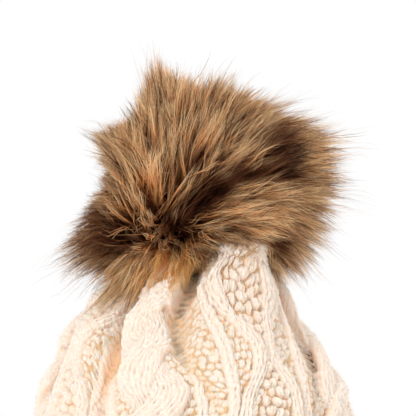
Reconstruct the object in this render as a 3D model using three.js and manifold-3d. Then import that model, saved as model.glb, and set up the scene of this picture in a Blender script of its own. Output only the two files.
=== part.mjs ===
// A cable-knit beanie with a removable faux-fur pom pom.
// Millimetres, +Z up. The origin is at the centre of the hat's opening, on the plane of its rim.
// The front of the hat faces -Y, and the wearer's left is +X.

import * as THREE from 'three';
import { mergeVertices } from 'three/addons/utils/BufferGeometryUtils.js';
import Module from 'manifold-3d';

const wasm = await Module();
wasm.setup();

// ---- driving dimensions ----
const GAP = 0.3; // between pieces that touch
const HEAD_OVAL = 1.14; // front-to-back depth over width, because a head is oval

// knitted body: half-widths across the ears at heights above the rim
const KNIT_WALL = 5;
const BAND_RADIUS = 93; // straight stretch that the cuff covers
const BAND_OVER_CUFF = 2; // how far the band runs on above the cuff before the body widens
const BELLY_RADIUS = 96; // widest place, just above the cuff
const BELLY_Z = 84;
const CROWN_TOP_Z = 208;
const CROWN_HOLE_RADIUS = 14;
const CROWN_SIDE = [ // how the crown closes in above the belly, up to its hole: [half-width, height]
  [92, 104],
  [84, 130],
  [74, 152],
  [62, 172],
  [48, 190],
  [34, 202],
  [22, 207],
];

// turned-up cuff
const CUFF_HEIGHT = 64;
const CUFF_WALL = 5.5;
const CUFF_ROUND = 2;

// fleece lining
const LINING_WALL = 2.5;
const LINING_HEM_Z = 4;
const LINING_TOP_Z = 194; // leaves room for the stud's cap under the knit
const LINING_SLACK = 11; // how far the lining hangs clear of the pleats inside the crown
const LINING_SLACK_FROM_Z = 96;
const LINING_SLACK_RISE = 72;
const LINING_CORNER = 4; // the lining's side stops this far short of its flat top
const LINING_TOP_INSET = 1; // the flat top is this much narrower inside
const GORES = ['front', 'left', 'back', 'right'];

// care label, sewn flat inside the back
const LABEL = { width: 22, height: 30, thickness: 0.6, foot: 22 };

// press stud at the crown
const PIVOT_Z = 205.5; // the fabric gives here, so the pom nods and leans about this point
const GATHER_RING = { radius: 11.2, yarn: 2.4 };
const STUD = { base: 7.5, barrel: 2, neck: 2.3, bulb: 2.9 };
const BULB_SHOULDER = 0.4; // height of the slope from the neck out to the bulb
const BULB_NOSE = { height: 0.8, taper: 0.9 }; // the bulb narrows at its tip, to find the socket
const STUD_BASE_Z = 204.7;
const STUD_SEAT_Z = 206.3;
const STUD_BULB_Z = 208.6;
const STUD_TOP_Z = 210.6;
const STUD_BARREL_Z = 203.5;
const STUD_CAP = { radius: 5.6, thickness: 1.2 };
const SPRING = { radius: 3.6, wire: 0.4, z: 208.4 };
const SOCKET = { radius: 7.5, mouth: 3.3, groove: 4.4, barrel: 2, chamfer: 0.8 };
const SOCKET_Z = 206.8;
const SOCKET_ROOF_Z = 211;
const SOCKET_TOP_Z = 212.2;
const SOCKET_BARREL_Z = 218.8;

// pom pom
const POM_Z = 250;
const POM_RADIUS = 67; // half the height of the fur
const POM_SPREAD = 1.1; // width over height, because the long fur falls outwards
const PELT_RADIUS = 36; // inside of the fur cover
const POM_FOOT_Z = 213.2; // where the underside starts, at the mouth
const POM_MOUTH_RADIUS = 9.5;
const POM_UNDERSIDE = 20 * Math.PI / 180; // rises outwards, so that the pom can lean
const DISC = { radius: 13, hole: 2.4, foot: 217, thickness: 1.5 };
const SOCKET_CAP = { radius: 7.5, thickness: 1.2 };
const FILLING_RADIUS = PELT_RADIUS - 0.8;
const FILLING_FOOT_Z = 221.5;
const GATHER_CORD = { radius: 10.6, cord: 0.7, z: 212.2 };

// facets
const HAT_SIDES = 44;
const SMALL_SIDES = 28;
const RING_SIDES = 8;
const FUR_STEPS = 12; // up the side of the pom pom
const CAVITY_STEPS = 14; // up the hollow inside it
const ANGLE_STEP = 0.002; // radians, for finding where the underside meets the ball
const WELD_DISTANCE = 1e-4; // corners nearer than this are one

// ---- materials ----
function paint(color, roughness, metalness = 0) {
  return new THREE.MeshStandardMaterial({ color, roughness, metalness });
}

const YARN = paint('#f2ddc8', 0.95);
const FLEECE = paint('#efe6da', 1);
const FUR = paint('#8a5f3f', 0.9);
const FIBRE = paint('#f4f2ee', 1);
const FELT = paint('#4a3628', 0.95);
const STEEL = paint('#b9b6b0', 0.35, 1);
const LABEL_CLOTH = paint('#fbf9f4', 0.8);

const group = new THREE.Group();

function add(name, geometry, material) {
  const mesh = new THREE.Mesh(geometry, material);
  mesh.name = name;
  group.add(mesh);
}

// ---- helpers ----

// A closed mesh with shared vertices and nothing but positions.
function welded(geometry) {
  geometry.deleteAttribute('normal');
  geometry.deleteAttribute('uv');
  return mergeVertices(geometry, WELD_DISTANCE);
}

// Turns a closed outline of [radius, height] points, listed anticlockwise, about the Z axis.
function turned(outline, sides = SMALL_SIDES) {
  const points = outline.map(([radius, height]) => new THREE.Vector2(radius, height));
  const geometry = new THREE.LatheGeometry(points, sides);
  geometry.rotateX(Math.PI / 2);
  return welded(geometry);
}

// The same, stretched front to back to a head's oval.
function turnedOval(outline) {
  return turned(outline, HAT_SIDES).scale(1, HEAD_OVAL, 1);
}

// A ring of round section; a closed outline of its own.
function ring(radius, thickness, z) {
  const outline = [];
  for (let i = 0; i <= RING_SIDES; i += 1) {
    const turn = (i % RING_SIDES) * 2 * Math.PI / RING_SIDES;
    outline.push([radius + thickness * Math.cos(turn), z + thickness * Math.sin(turn)]);
  }
  return turned(outline);
}

// A flat round plate, with a hole if one is given.
function plate(radius, z, thickness, hole = 0) {
  return turned([
    [hole, z],
    [radius, z],
    [radius, z + thickness],
    [hole, z + thickness],
    ...(hole > 0 ? [[hole, z]] : []),
  ]);
}

function solidOf(geometry) {
  const vertProperties = new Float32Array(geometry.attributes.position.array);
  const triVerts = new Uint32Array(geometry.index.array);
  return new wasm.Manifold(new wasm.Mesh({ numProp: 3, vertProperties, triVerts }));
}

function geometryOf(solid) {
  const mesh = solid.getMesh();
  const geometry = new THREE.BufferGeometry();
  geometry.setAttribute('position', new THREE.BufferAttribute(mesh.vertProperties, 3));
  geometry.setIndex(new THREE.BufferAttribute(mesh.triVerts, 1));
  return geometry;
}

// ---- the hat ----

// Outer half-width of the knit at each height, from the rim to the crown's hole.
function knitOutside() {
  return [
    [BAND_RADIUS, 0],
    [BAND_RADIUS, CUFF_HEIGHT + BAND_OVER_CUFF],
    [BELLY_RADIUS, BELLY_Z],
    ...CROWN_SIDE,
    [CROWN_HOLE_RADIUS, CROWN_TOP_Z],
  ];
}

// The same line moved inwards, square to its own slope, by a depth that may change with height.
function insetOf(outline, depthAt) {
  return outline.map(([radius, height], i) => {
    const depth = depthAt(height);
    const [r0, z0] = outline[Math.max(i - 1, 0)];
    const [r1, z1] = outline[Math.min(i + 1, outline.length - 1)];
    const length = Math.hypot(r1 - r0, z1 - z0);
    return [radius - depth * (z1 - z0) / length, height + depth * (r1 - r0) / length];
  });
}

function knitBody() {
  const outside = knitOutside();
  const inside = insetOf(outside, () => KNIT_WALL);
  inside[0][1] = 0;
  inside[inside.length - 1] = [CROWN_HOLE_RADIUS, CROWN_TOP_Z - KNIT_WALL];
  return turnedOval([...outside, ...inside.reverse(), outside[0]]);
}

function turnedCuff() {
  const inner = BAND_RADIUS + GAP;
  const outer = inner + CUFF_WALL;
  return turnedOval([
    [inner, 0],
    [outer - CUFF_ROUND, 0],
    [outer, CUFF_ROUND],
    [outer, CUFF_HEIGHT - CUFF_ROUND],
    [outer - CUFF_ROUND, CUFF_HEIGHT],
    [inner, CUFF_HEIGHT],
    [inner, 0],
  ]);
}

// The lining lies against the knit round the head and hangs clear of it under the gathered crown.
function liningDepth(height) {
  const slackToZ = LINING_SLACK_FROM_Z + LINING_SLACK_RISE;
  const rise = THREE.MathUtils.smoothstep(height, LINING_SLACK_FROM_Z, slackToZ);
  return KNIT_WALL + GAP + LINING_SLACK * rise;
}

// The lining's outer face, closed over the crown.
function liningOutside() {
  const narrowest = CROWN_HOLE_RADIUS + LINING_CORNER;
  const highest = LINING_TOP_Z - LINING_CORNER;
  const face = insetOf(knitOutside(), liningDepth)
    .filter(([radius, height]) => radius > narrowest && height < highest);
  face[0][1] = LINING_HEM_Z;
  return [...face, [CROWN_HOLE_RADIUS, LINING_TOP_Z], [0, LINING_TOP_Z]];
}

function liningShell() {
  const outside = liningOutside();
  const inside = insetOf(outside, () => LINING_WALL);
  inside[0][1] = LINING_HEM_Z;
  inside[inside.length - 1] = [0, LINING_TOP_Z - LINING_WALL];
  inside[inside.length - 2] = [CROWN_HOLE_RADIUS - LINING_TOP_INSET, LINING_TOP_Z - LINING_WALL];
  return solidOf(turnedOval([...inside.reverse(), ...outside]));
}

// One quarter of the lining, cut out by a tall block whose corner is on the axis.
function liningGore(shell, turn) {
  const side = 2 * BELLY_RADIUS;
  const block = new THREE.BoxGeometry(side, side, 2 * CROWN_TOP_Z);
  block.translate(side / 2 + GAP / 2, side / 2 + GAP / 2, CROWN_TOP_Z);
  block.rotateZ(turn);
  return geometryOf(shell.intersect(solidOf(welded(block))));
}

function addLining() {
  const shell = liningShell();
  const firstTurn = -3 * Math.PI / 4;
  GORES.forEach((side, i) => add(`lining_${side}`, liningGore(shell, firstTurn + i * Math.PI / 2), FLEECE));
}

// A blank label that lies against the back gore, clear of the gore's curve.
function careLabel() {
  const innerWidth = BAND_RADIUS - KNIT_WALL - GAP - LINING_WALL;
  const innerDepth = innerWidth * HEAD_OVAL;
  const curve = innerDepth * (1 - Math.sqrt(1 - (LABEL.width / 2 / innerWidth) ** 2));
  const facetDip = innerDepth * (1 - Math.cos(Math.PI / HAT_SIDES));
  const back = innerDepth - curve - facetDip - GAP;
  const label = new THREE.BoxGeometry(LABEL.width, LABEL.thickness, LABEL.height);
  label.translate(0, back - LABEL.thickness / 2, LABEL.foot + LABEL.height / 2);
  return welded(label);
}

// ---- the press stud ----

function snapStud() {
  return turned([
    [0, STUD_BARREL_Z],
    [STUD.barrel, STUD_BARREL_Z],
    [STUD.barrel, STUD_BASE_Z],
    [STUD.base, STUD_BASE_Z],
    [STUD.base, STUD_SEAT_Z],
    [STUD.neck, STUD_SEAT_Z],
    [STUD.neck, STUD_BULB_Z - BULB_SHOULDER],
    [STUD.bulb, STUD_BULB_Z],
    [STUD.bulb, STUD_TOP_Z - BULB_NOSE.height],
    [STUD.bulb - BULB_NOSE.taper, STUD_TOP_Z],
    [0, STUD_TOP_Z],
  ]);
}

function snapStudCap() {
  return plate(STUD_CAP.radius, STUD_BARREL_Z - GAP - STUD_CAP.thickness, STUD_CAP.thickness);
}

// The socket is open below; its groove holds the ring spring.
function snapSocket() {
  const grooveLow = SPRING.z - SPRING.wire - GAP;
  const grooveHigh = SPRING.z + SPRING.wire + GAP;
  return turned([
    [SOCKET.mouth, SOCKET_Z],
    [SOCKET.radius, SOCKET_Z],
    [SOCKET.radius, SOCKET_TOP_Z - SOCKET.chamfer],
    [SOCKET.radius - SOCKET.chamfer, SOCKET_TOP_Z],
    [SOCKET.barrel, SOCKET_TOP_Z],
    [SOCKET.barrel, SOCKET_BARREL_Z],
    [0, SOCKET_BARREL_Z],
    [0, SOCKET_ROOF_Z],
    [SOCKET.mouth, SOCKET_ROOF_Z],
    [SOCKET.mouth, grooveHigh],
    [SOCKET.groove, grooveHigh],
    [SOCKET.groove, grooveLow],
    [SOCKET.mouth, grooveLow],
    [SOCKET.mouth, SOCKET_Z],
  ]);
}

// ---- the pom pom ----

// An arc of a ball about the pom's centre, from an angle below the horizontal up to the top.
function ballArc(radius, fromAngle, steps, spread = 1) {
  const arc = [];
  for (let i = 0; i <= steps; i += 1) {
    const angle = fromAngle + (Math.PI / 2 - fromAngle) * i / steps;
    arc.push([i === steps ? 0 : spread * radius * Math.cos(angle), POM_Z + radius * Math.sin(angle)]);
  }
  return arc;
}

// Pelt and fur as one thick hollow ball, open at the gathered mouth underneath.
function pomFurCover() {
  const slope = Math.tan(POM_UNDERSIDE);
  const footAt = (radius) => POM_FOOT_Z + (radius - POM_MOUTH_RADIUS) * slope;
  const ballAt = (angle) => [POM_SPREAD * POM_RADIUS * Math.cos(angle), POM_Z + POM_RADIUS * Math.sin(angle)];
  let rimAngle = -Math.PI / 2;
  while (ballAt(rimAngle)[1] < footAt(ballAt(rimAngle)[0])) {
    rimAngle += ANGLE_STEP;
  }
  const mouthAngle = -Math.acos(POM_MOUTH_RADIUS / PELT_RADIUS);
  const outside = ballArc(POM_RADIUS, rimAngle, FUR_STEPS, POM_SPREAD);
  const cavity = ballArc(PELT_RADIUS, mouthAngle, CAVITY_STEPS).reverse();
  const foot = [POM_MOUTH_RADIUS, POM_FOOT_Z];
  return turned([foot, ...outside, ...cavity, foot], SMALL_SIDES);
}

// Polyester fibre, flattened below where it sits on the socket's cap.
function pomFilling() {
  const flatAngle = Math.asin((FILLING_FOOT_Z - POM_Z) / FILLING_RADIUS);
  return turned([[0, FILLING_FOOT_Z], ...ballArc(FILLING_RADIUS, flatAngle, FUR_STEPS)]);
}

// ---- assembly ----

add('knit_body', knitBody(), YARN);
add('turned_cuff', turnedCuff(), YARN);
addLining();
add('care_label', careLabel(), LABEL_CLOTH);
add('crown_gather_yarn', ring(GATHER_RING.radius, GATHER_RING.yarn, PIVOT_Z), YARN);
add('snap_stud', snapStud(), STEEL);
add('snap_stud_cap', snapStudCap(), STEEL);
add('snap_ring_spring', ring(SPRING.radius, SPRING.wire, SPRING.z), STEEL);
add('snap_socket', snapSocket(), STEEL);
add('snap_socket_cap', plate(SOCKET_CAP.radius, SOCKET_BARREL_Z + GAP, SOCKET_CAP.thickness), STEEL);
add('pom_backing_disc', plate(DISC.radius, DISC.foot, DISC.thickness, DISC.hole), FELT);
add('pom_gather_cord', ring(GATHER_CORD.radius, GATHER_CORD.cord, GATHER_CORD.z), FELT);
add('pom_filling', pomFilling(), FIBRE);
add('pom_fur_cover', pomFurCover(), FUR);

export default group;
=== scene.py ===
import math

import bpy
import numpy as np
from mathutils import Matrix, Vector


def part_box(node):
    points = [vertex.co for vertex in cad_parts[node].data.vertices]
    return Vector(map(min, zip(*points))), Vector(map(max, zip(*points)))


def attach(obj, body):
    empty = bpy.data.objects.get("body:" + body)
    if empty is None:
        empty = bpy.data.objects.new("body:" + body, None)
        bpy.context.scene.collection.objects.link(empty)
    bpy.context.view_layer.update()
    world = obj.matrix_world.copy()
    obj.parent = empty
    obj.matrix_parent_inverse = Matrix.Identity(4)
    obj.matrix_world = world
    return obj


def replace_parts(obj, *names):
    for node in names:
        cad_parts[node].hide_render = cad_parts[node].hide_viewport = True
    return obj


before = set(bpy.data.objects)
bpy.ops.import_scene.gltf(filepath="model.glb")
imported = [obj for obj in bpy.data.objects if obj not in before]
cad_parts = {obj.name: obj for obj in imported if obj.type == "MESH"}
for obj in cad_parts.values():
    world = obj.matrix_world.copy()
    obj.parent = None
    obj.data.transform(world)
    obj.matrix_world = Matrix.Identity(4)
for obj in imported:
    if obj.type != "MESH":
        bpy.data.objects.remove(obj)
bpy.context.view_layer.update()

MM = 0.001
UV_NAME = "OFBake"
rng = np.random.default_rng(7)

# ---- places taken from the frame, in millimetres ----
HEAD_OVAL = 1.14
CUFF_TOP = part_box("turned_cuff")[1][2] / MM
CUFF_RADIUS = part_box("turned_cuff")[1][0] / MM
POM_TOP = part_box("pom_fur_cover")[1][2] / MM
POM_HALF_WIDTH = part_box("pom_fur_cover")[1][0] / MM
POM_HALF_HEIGHT = 67.0
POM_CENTRE = np.array([0.0, 0.0, POM_TOP - POM_HALF_HEIGHT])
PELT_RADIUS = 38.0


# ---- mesh building ----

def make_piece(name, points, quads, tris=None, uv=None, shade=None):
    """A mesh object from arrays in millimetres. uv and shade hold one value for each point."""
    corners = [np.asarray(quads, np.int32).reshape(-1, 4)]
    if tris is not None:
        corners.append(np.asarray(tris, np.int32).reshape(-1, 3))
    loops = np.concatenate([c.ravel() for c in corners])
    sizes = np.concatenate([np.full(len(c), c.shape[1], np.int32) for c in corners])
    starts = np.concatenate([[0], np.cumsum(sizes)[:-1]]).astype(np.int32)
    mesh = bpy.data.meshes.new(name)
    mesh.vertices.add(len(points))
    mesh.vertices.foreach_set("co", (np.asarray(points, np.float32) * MM).ravel())
    mesh.loops.add(len(loops))
    mesh.loops.foreach_set("vertex_index", loops)
    mesh.polygons.add(len(sizes))
    mesh.polygons.foreach_set("loop_start", starts)
    if uv is not None:
        layer = mesh.uv_layers.new(name=UV_NAME)
        layer.data.foreach_set("uv", np.asarray(uv, np.float32)[loops].ravel())
    if shade is not None:
        attribute = mesh.attributes.new("shade", "FLOAT", "POINT")
        attribute.data.foreach_set("value", np.asarray(shade, np.float32))
    mesh.update(calc_edges=True)
    mesh.polygons.foreach_set("use_smooth", np.ones(len(sizes), bool))
    piece = bpy.data.objects.new(name, mesh)
    bpy.context.scene.collection.objects.link(piece)
    return piece


def grid_quads(rows, columns, wrap=True):
    """Quads of a grid whose rows wrap round, numbered row by row, facing out of a shape that rises."""
    last = columns if wrap else columns - 1
    row, column = np.meshgrid(np.arange(rows - 1), np.arange(last), indexing="ij")
    after = (column + 1) % columns
    return np.stack([
        row * columns + column,
        row * columns + after,
        (row + 1) * columns + after,
        (row + 1) * columns + column,
    ], axis=-1).reshape(-1, 4)


def normalised(v):
    """Vectors made 1 long."""
    return v / np.maximum(np.linalg.norm(v, axis=-1, keepdims=True), 1e-9)


def smooth_line(points, count):
    """The points joined by a Catmull-Rom curve, sampled evenly along its length."""
    p = np.asarray(points, float)
    p = np.vstack([2 * p[0] - p[1], p, 2 * p[-1] - p[-2]])
    t = np.linspace(0, 1, 12, endpoint=False)[:, None]
    pieces = []
    for i in range(1, len(p) - 2):
        a, b, c, d = p[i - 1:i + 3]
        pieces.append(0.5 * (2 * b + (c - a) * t + (2 * a - 5 * b + 4 * c - d) * t ** 2
                             + (3 * b - a - 3 * c + d) * t ** 3))
    line = np.vstack(pieces + [p[-2][None]])
    length = np.concatenate([[0], np.cumsum(np.linalg.norm(np.diff(line, axis=0), axis=1))])
    at = np.linspace(0, length[-1], count)
    return np.stack([np.interp(at, length, line[:, k]) for k in range(p.shape[1])], axis=-1)


def smoothstep(x, low, high):
    """Rises softly from 0 at low to 1 at high."""
    t = np.clip((x - low) / (high - low), 0, 1)
    return t * t * (3 - 2 * t)


def stacked(*parts):
    """Points from their x, y and z, or places from their u and v, each a number or an array."""
    return np.stack(np.broadcast_arrays(*parts), axis=-1)


def full_turn(count):
    """Angles evenly round a circle, as one row."""
    return np.linspace(0, 2 * math.pi, count, endpoint=False)[None, :]


def level(points):
    """The way out from the upright axis at each point."""
    return normalised(points * np.array([1.0, 1.0, 0.0]))


def bare_box(node):
    """A CAD node's corners, in millimetres."""
    return (np.array(corner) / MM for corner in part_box(node))


# ---- materials ----

def new_material(name, roughness, specular=0.3, sheen=0.0, sheen_roughness=0.5, metallic=0.0):
    material = bpy.data.materials.new(name)
    material.use_nodes = True
    shader = material.node_tree.nodes["Principled BSDF"]
    shader.inputs["Roughness"].default_value = roughness
    shader.inputs["Specular IOR Level"].default_value = specular
    shader.inputs["Sheen Weight"].default_value = sheen
    shader.inputs["Sheen Roughness"].default_value = sheen_roughness
    shader.inputs["Metallic"].default_value = metallic
    return material, material.node_tree, shader


def linear(rgb):
    """A linear colour from red, green and blue as a screen shows them, 0 to 255."""
    c = np.asarray(rgb, float) / 255
    c = np.where(c <= 0.04045, c / 12.92, ((c + 0.055) / 1.055) ** 2.4)
    return (*c, 1.0)


def ramp(tree, factor, stops):
    """A colour ramp node with (position, rgb) stops, fed by a socket."""
    node = tree.nodes.new("ShaderNodeValToRGB")
    elements = node.color_ramp.elements
    while len(elements) < len(stops):
        elements.new(0.5)
    for element, (position, rgb) in zip(elements, stops):
        element.position = position
        element.color = linear(rgb)
    tree.links.new(factor, node.inputs["Fac"])
    return node.outputs["Color"]


def noise(tree, scale, detail=3.0, stretch=None):
    """Noise over the object's own coordinates, with scale in features per metre."""
    place = tree.nodes.new("ShaderNodeTexCoord").outputs["Object"]
    if stretch:
        mapping = tree.nodes.new("ShaderNodeMapping")
        mapping.inputs["Scale"].default_value = stretch
        tree.links.new(place, mapping.inputs["Vector"])
        place = mapping.outputs["Vector"]
    node = tree.nodes.new("ShaderNodeTexNoise")
    node.inputs["Scale"].default_value = scale
    node.inputs["Detail"].default_value = detail
    tree.links.new(place, node.inputs["Vector"])
    return node.outputs["Fac"]


def mixed(tree, factor, a, b, blend="MIX"):
    """Two colours mixed; factor and colours are sockets or plain values."""
    node = tree.nodes.new("ShaderNodeMix")
    node.data_type = "RGBA"
    node.blend_type = blend
    sockets = [s for s in node.inputs if s.enabled]
    for socket, value in zip(sockets, (factor, a, b)):
        if isinstance(value, bpy.types.NodeSocket):
            tree.links.new(value, socket)
        else:
            socket.default_value = value
    return next(s for s in node.outputs if s.enabled)


def bump(tree, shader, height, strength, distance):
    """Relief on a shader from a height socket, with its depth in metres."""
    node = tree.nodes.new("ShaderNodeBump")
    node.inputs["Strength"].default_value = strength
    node.inputs["Distance"].default_value = distance
    tree.links.new(height, node.inputs["Height"])
    tree.links.new(node.outputs["Normal"], shader.inputs["Normal"])


def attribute(tree, name):
    """A value stored with the mesh's points."""
    node = tree.nodes.new("ShaderNodeAttribute")
    node.attribute_name = name
    return node.outputs["Fac"]


def mottled_material(name, dark, light, grain, relief=None, **finish):
    """Two close colours mottled by noise of a grain; relief is a bump's (noise, strength, depth)."""
    material, tree, shader = new_material(name, **finish)
    colour = ramp(tree, noise(tree, *grain), [(0.3, dark), (0.7, light)])
    tree.links.new(colour, shader.inputs["Base Color"])
    if relief:
        texture, strength, depth = relief
        bump(tree, shader, noise(tree, *texture), strength, depth)
    return material


def yarn_material():
    """Cream acrylic yarn with fine fibres, and painted shade: warm tan in the crevices, nearly white on the
    crests.
    """
    material, tree, shader = new_material("yarn", 0.9, 0.15, sheen=0.35, sheen_roughness=0.6)
    shader.inputs["Subsurface Weight"].default_value = 0.5
    shader.inputs["Subsurface Radius"].default_value = (1.0, 0.65, 0.45)
    shader.inputs["Subsurface Scale"].default_value = 0.003
    # painted shade: the colour runs from warm tan where the stored shade says little light reaches to cream
    # on the open crests
    depth = ramp(tree, attribute(tree, "shade"), [
        (0.0, (228, 178, 132)),
        (0.3, (236, 202, 170)),
        (0.55, (236, 216, 198)),
        (1.0, (235, 223, 211)),
    ])
    fleck = ramp(tree, noise(tree, 700.0, 4.0), [(0.35, (236, 219, 204)), (0.65, (255, 253, 250))])
    colour = mixed(tree, 0.3, depth, fleck, "MULTIPLY")
    tree.links.new(colour, shader.inputs["Base Color"])
    bump(tree, shader, noise(tree, 1000.0, 5.0, (1, 1, 0.3)), 0.8, 0.0011)
    return material


def fur_material(name, dark, light):
    """Fur strands: the second coordinate runs from root to tip, and the first from dark to light hair."""
    material, tree, shader = new_material(name, 0.5, 0.08)
    coordinates = tree.nodes.new("ShaderNodeUVMap")
    coordinates.uv_map = UV_NAME
    split = tree.nodes.new("ShaderNodeSeparateXYZ")
    tree.links.new(coordinates.outputs["UV"], split.inputs["Vector"])
    along = split.outputs["Y"]
    dull = ramp(tree, along, dark)
    bright = ramp(tree, along, light)
    tree.links.new(mixed(tree, split.outputs["X"], dull, bright), shader.inputs["Base Color"])
    return material


def pelt_and_shade_material():
    """The backing between the roots of the fur, near black so that the gaps between the locks look shaded:
    partly the skin's own colour, partly painted shade.
    """
    return mottled_material(
        "pelt", (22, 12, 7), (64, 40, 24), grain=(260.0, 4.0), relief=((900.0, 4.0), 0.6, 0.001),
        roughness=0.95, specular=0.1,
    )


def fleece_material():
    """Short-pile fleece: soft mottled ivory with a nap."""
    return mottled_material(
        "fleece", (222, 208, 190), (246, 238, 226), grain=(320.0, 5.0), relief=((520.0, 6.0), 0.8, 0.0015),
        roughness=0.95, specular=0.1, sheen=0.5, sheen_roughness=0.7,
    )


def fibre_material():
    """Carded polyester filling, drawn out in long fibres."""
    return mottled_material(
        "fibre", (226, 224, 220), (250, 249, 246), grain=(300.0, 5.0),
        relief=((500.0, 6.0, (1, 1, 4)), 0.7, 0.002), roughness=0.85, specular=0.2, sheen=0.4,
    )


def felt_material():
    """Dense brown felt."""
    return mottled_material(
        "felt", (52, 36, 27), (92, 68, 52), grain=(900.0, 5.0), relief=((1800.0, 5.0), 0.6, 0.0005),
        roughness=0.95, specular=0.1, sheen=0.2,
    )


def label_material():
    """White woven satin tape."""
    return mottled_material(
        "label_tape", (232, 229, 222), (252, 251, 248), grain=(2400.0, 2.0, (1, 1, 0.1)),
        relief=((3000.0, 2.0, (0.1, 1, 1)), 0.4, 0.0003), roughness=0.5, specular=0.4,
    )


def fuzz_material():
    """Loose fibres of the yarn, which also serve as sewing thread."""
    return mottled_material(
        "yarn_fuzz", (238, 218, 200), (248, 236, 224), grain=(120.0,), roughness=0.9, specular=0.1, sheen=0.3,
    )


def steel_material():
    """Nickel-plated steel, turned, with fine circular brushing and slight tarnish."""
    material, tree, shader = new_material("steel", 0.3, 0.5, metallic=1.0)
    colour = ramp(tree, noise(tree, 420.0, 4.0), [(0.3, (158, 152, 142)), (0.7, (206, 202, 194))])
    tree.links.new(colour, shader.inputs["Base Color"])
    rough = ramp(tree, noise(tree, 2600.0, 3.0, (1, 1, 12)), [(0.3, (110, 110, 110)), (0.7, (170, 170, 170))])
    tree.links.new(rough, shader.inputs["Roughness"])
    return material


# ---- the knitted body ----

# The folds between the pleats: degrees round from the front towards the wearer's left, at the shoulder of
# the hat and up at the crown, then how deep, and the height at which the fold dies away.
FOLDS = [
    (-180, -180, 0.95, 100), (-144, -150, 0.90, 104), (-108, -120, 1.00, 98), (-72, -88, 0.90, 104),
    (-36, -41, 1.20, 90), (10, -5, 0.80, 140), (42, 80, 0.45, 120), (76, 104, 0.35, 98),
    (108, 126, 0.90, 104), (144, 152, 1.00, 96),
]
TWIST = (108, 178)  # the heights between which the folds move round
CUFF_STITCHES = 144  # round the cuff
STITCH = 5.8  # width of a stitch
ROW = 5.0  # height of a row of stitches
STITCH_PROUD = 4.0  # how far the pattern stands above the cloth it is worked on
CROWN_LEAN = -5.0  # how far the shoulder of the hat slumps towards the wearer's right

RIDGE = [  # half-width and height along the top of a pleat, from the rim to the gathered hole
    (93, 0), (93, 30), (93, 62), (96, 84), (94, 104), (89, 121), (82, 139), (74, 153), (65.5, 168),
    (56, 184), (49.5, 197), (45, 206), (38.5, 210.5), (28, 211), (19, 208), (13, 204), (9, 201),
]
VALLEY = [  # the same down in the fold between two pleats
    (93, 0), (93, 30), (93, 62), (95.5, 84), (91.5, 104), (84, 120), (75, 136), (65.5, 149), (56, 161),
    (46, 174), (37, 185), (29, 193), (23, 198), (18, 200), (14, 201), (11, 201), (8, 200),
]


def lobe(x, y, half_width, half_height, lean=0.0):
    """Height, 0 to 1, of a rounded bit of yarn at distances x and y from its middle."""
    across = x * np.cos(lean) + y * np.sin(lean)
    along = -x * np.sin(lean) + y * np.cos(lean)
    return np.sqrt(np.clip(1 - (across / half_width) ** 2 - (along / half_height) ** 2, 0, 1))


def knit_stitch(u, v):
    """Plain knitting: two steep legs of yarn in each stitch, running on into the next row."""
    x = u - np.floor(u) - 0.5
    y = v - np.floor(v) - 0.5
    height = np.zeros_like(x)
    for row in (-1, 0, 1):
        for side in (-1, 1):
            height = np.maximum(height, lobe(x - side * 0.25, y - row, 0.245, 1.05, -side * 0.16))
    return height


def scatter(i, j):
    """A fixed random number, 0 to 1, for each pair of whole numbers."""
    value = np.sin(i * 12.9898 + j * 78.233) * 43758.5453
    return value - np.floor(value)


PLY_TURNS = 17.0  # how closely the plies of the yarn lie side by side in a bump


def bobbles(u, v):
    """Seed stitch: rows of fat bumps, each row half a stitch along from the last."""
    height = np.zeros_like(u)
    for shift in (-1, 0, 1):
        row = np.floor(v) + shift
        along = u + 0.5 * np.mod(row, 2)
        column = np.floor(along)
        x = along - column - 0.5 + 0.4 * (scatter(column, row) - 0.5)
        y = v - row - 0.5 + 0.4 * (scatter(row, column) - 0.5)
        size = 0.6 + 0.6 * scatter(column + 3, row + 5)
        lean = 1.6 * (scatter(row, column + 7) - 0.5)
        plies = 0.86 + 0.14 * np.cos(PLY_TURNS * (x * np.cos(lean) + y * np.sin(lean)))
        height = np.maximum(height, size * plies * lobe(x, y, 0.50, 0.54, lean))
    return height


def ripple(angle, s, size, key):
    """A smooth irregular wave over the hat, about size millimetres from crest to crest, -1 to 1."""
    total = 0
    for k in range(5):
        share = scatter(key, k + 0.5)
        around = np.round(600 / size * math.sqrt(1 - share * share))
        phase = 2 * math.pi * scatter(key + 0.3, k)
        total = total + np.sin(around * angle + 2 * math.pi / size * share * (-1) ** k * s + phase)
    return total / 3


def strand(offset, legs, stand, relief):
    """A rounded strand of plain knitting, 1 wide each side of its middle: (height, how open to light). It
    stands above its ground, with the relief of its own stitches on top."""
    body = np.sqrt(np.clip(1 - offset ** 2, 0, 1))
    height = np.where(body > 0, stand * body + relief * legs * body ** 0.5, 0)
    return height, (0.35 + 0.65 * legs) * smoothstep(body, -0.2, 0.5)


def over(lower, upper):
    """The higher of two (height, light) pairs, with a crease of shade where they meet."""
    higher = upper[0] > lower[0]
    gap = np.abs(upper[0] - lower[0])
    light = np.where(higher, upper[1], lower[1]) * (0.65 + 0.35 * smoothstep(gap, 0.0, 0.6))
    return np.where(higher, upper[0], lower[0]), light


def purl_ground(across, s):
    """The low ground of small bumps that the raised figures stand on."""
    bumps = bobbles(across / STITCH, s / ROW * 1.25)
    return 1.1 * bumps, 0.35 + 0.65 * bumps


EDGE_CHAIN = 28.0  # from the middle of a panel to its edge chains
EDGE_CHAIN_HALF = 3.4


def edge_chains(worked, across, s):
    """A chain of plain stitches up each edge of a panel."""
    for side in (-1, 1):
        offset = (across - side * EDGE_CHAIN) / EDGE_CHAIN_HALF
        chain = strand(offset, knit_stitch(offset / 2 + 0.5, s / ROW), stand=1.2, relief=2.2)
        worked = over(worked, chain)
    return worked


CABLE_PITCH = 33.0  # between two crossings
CABLE_SWING = 10.0  # how far a strand goes from side to side
CABLE_STRAND = 12.0  # half a strand's width
CABLE_OVER = 2.2  # how far one strand rises over the other where they cross


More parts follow.
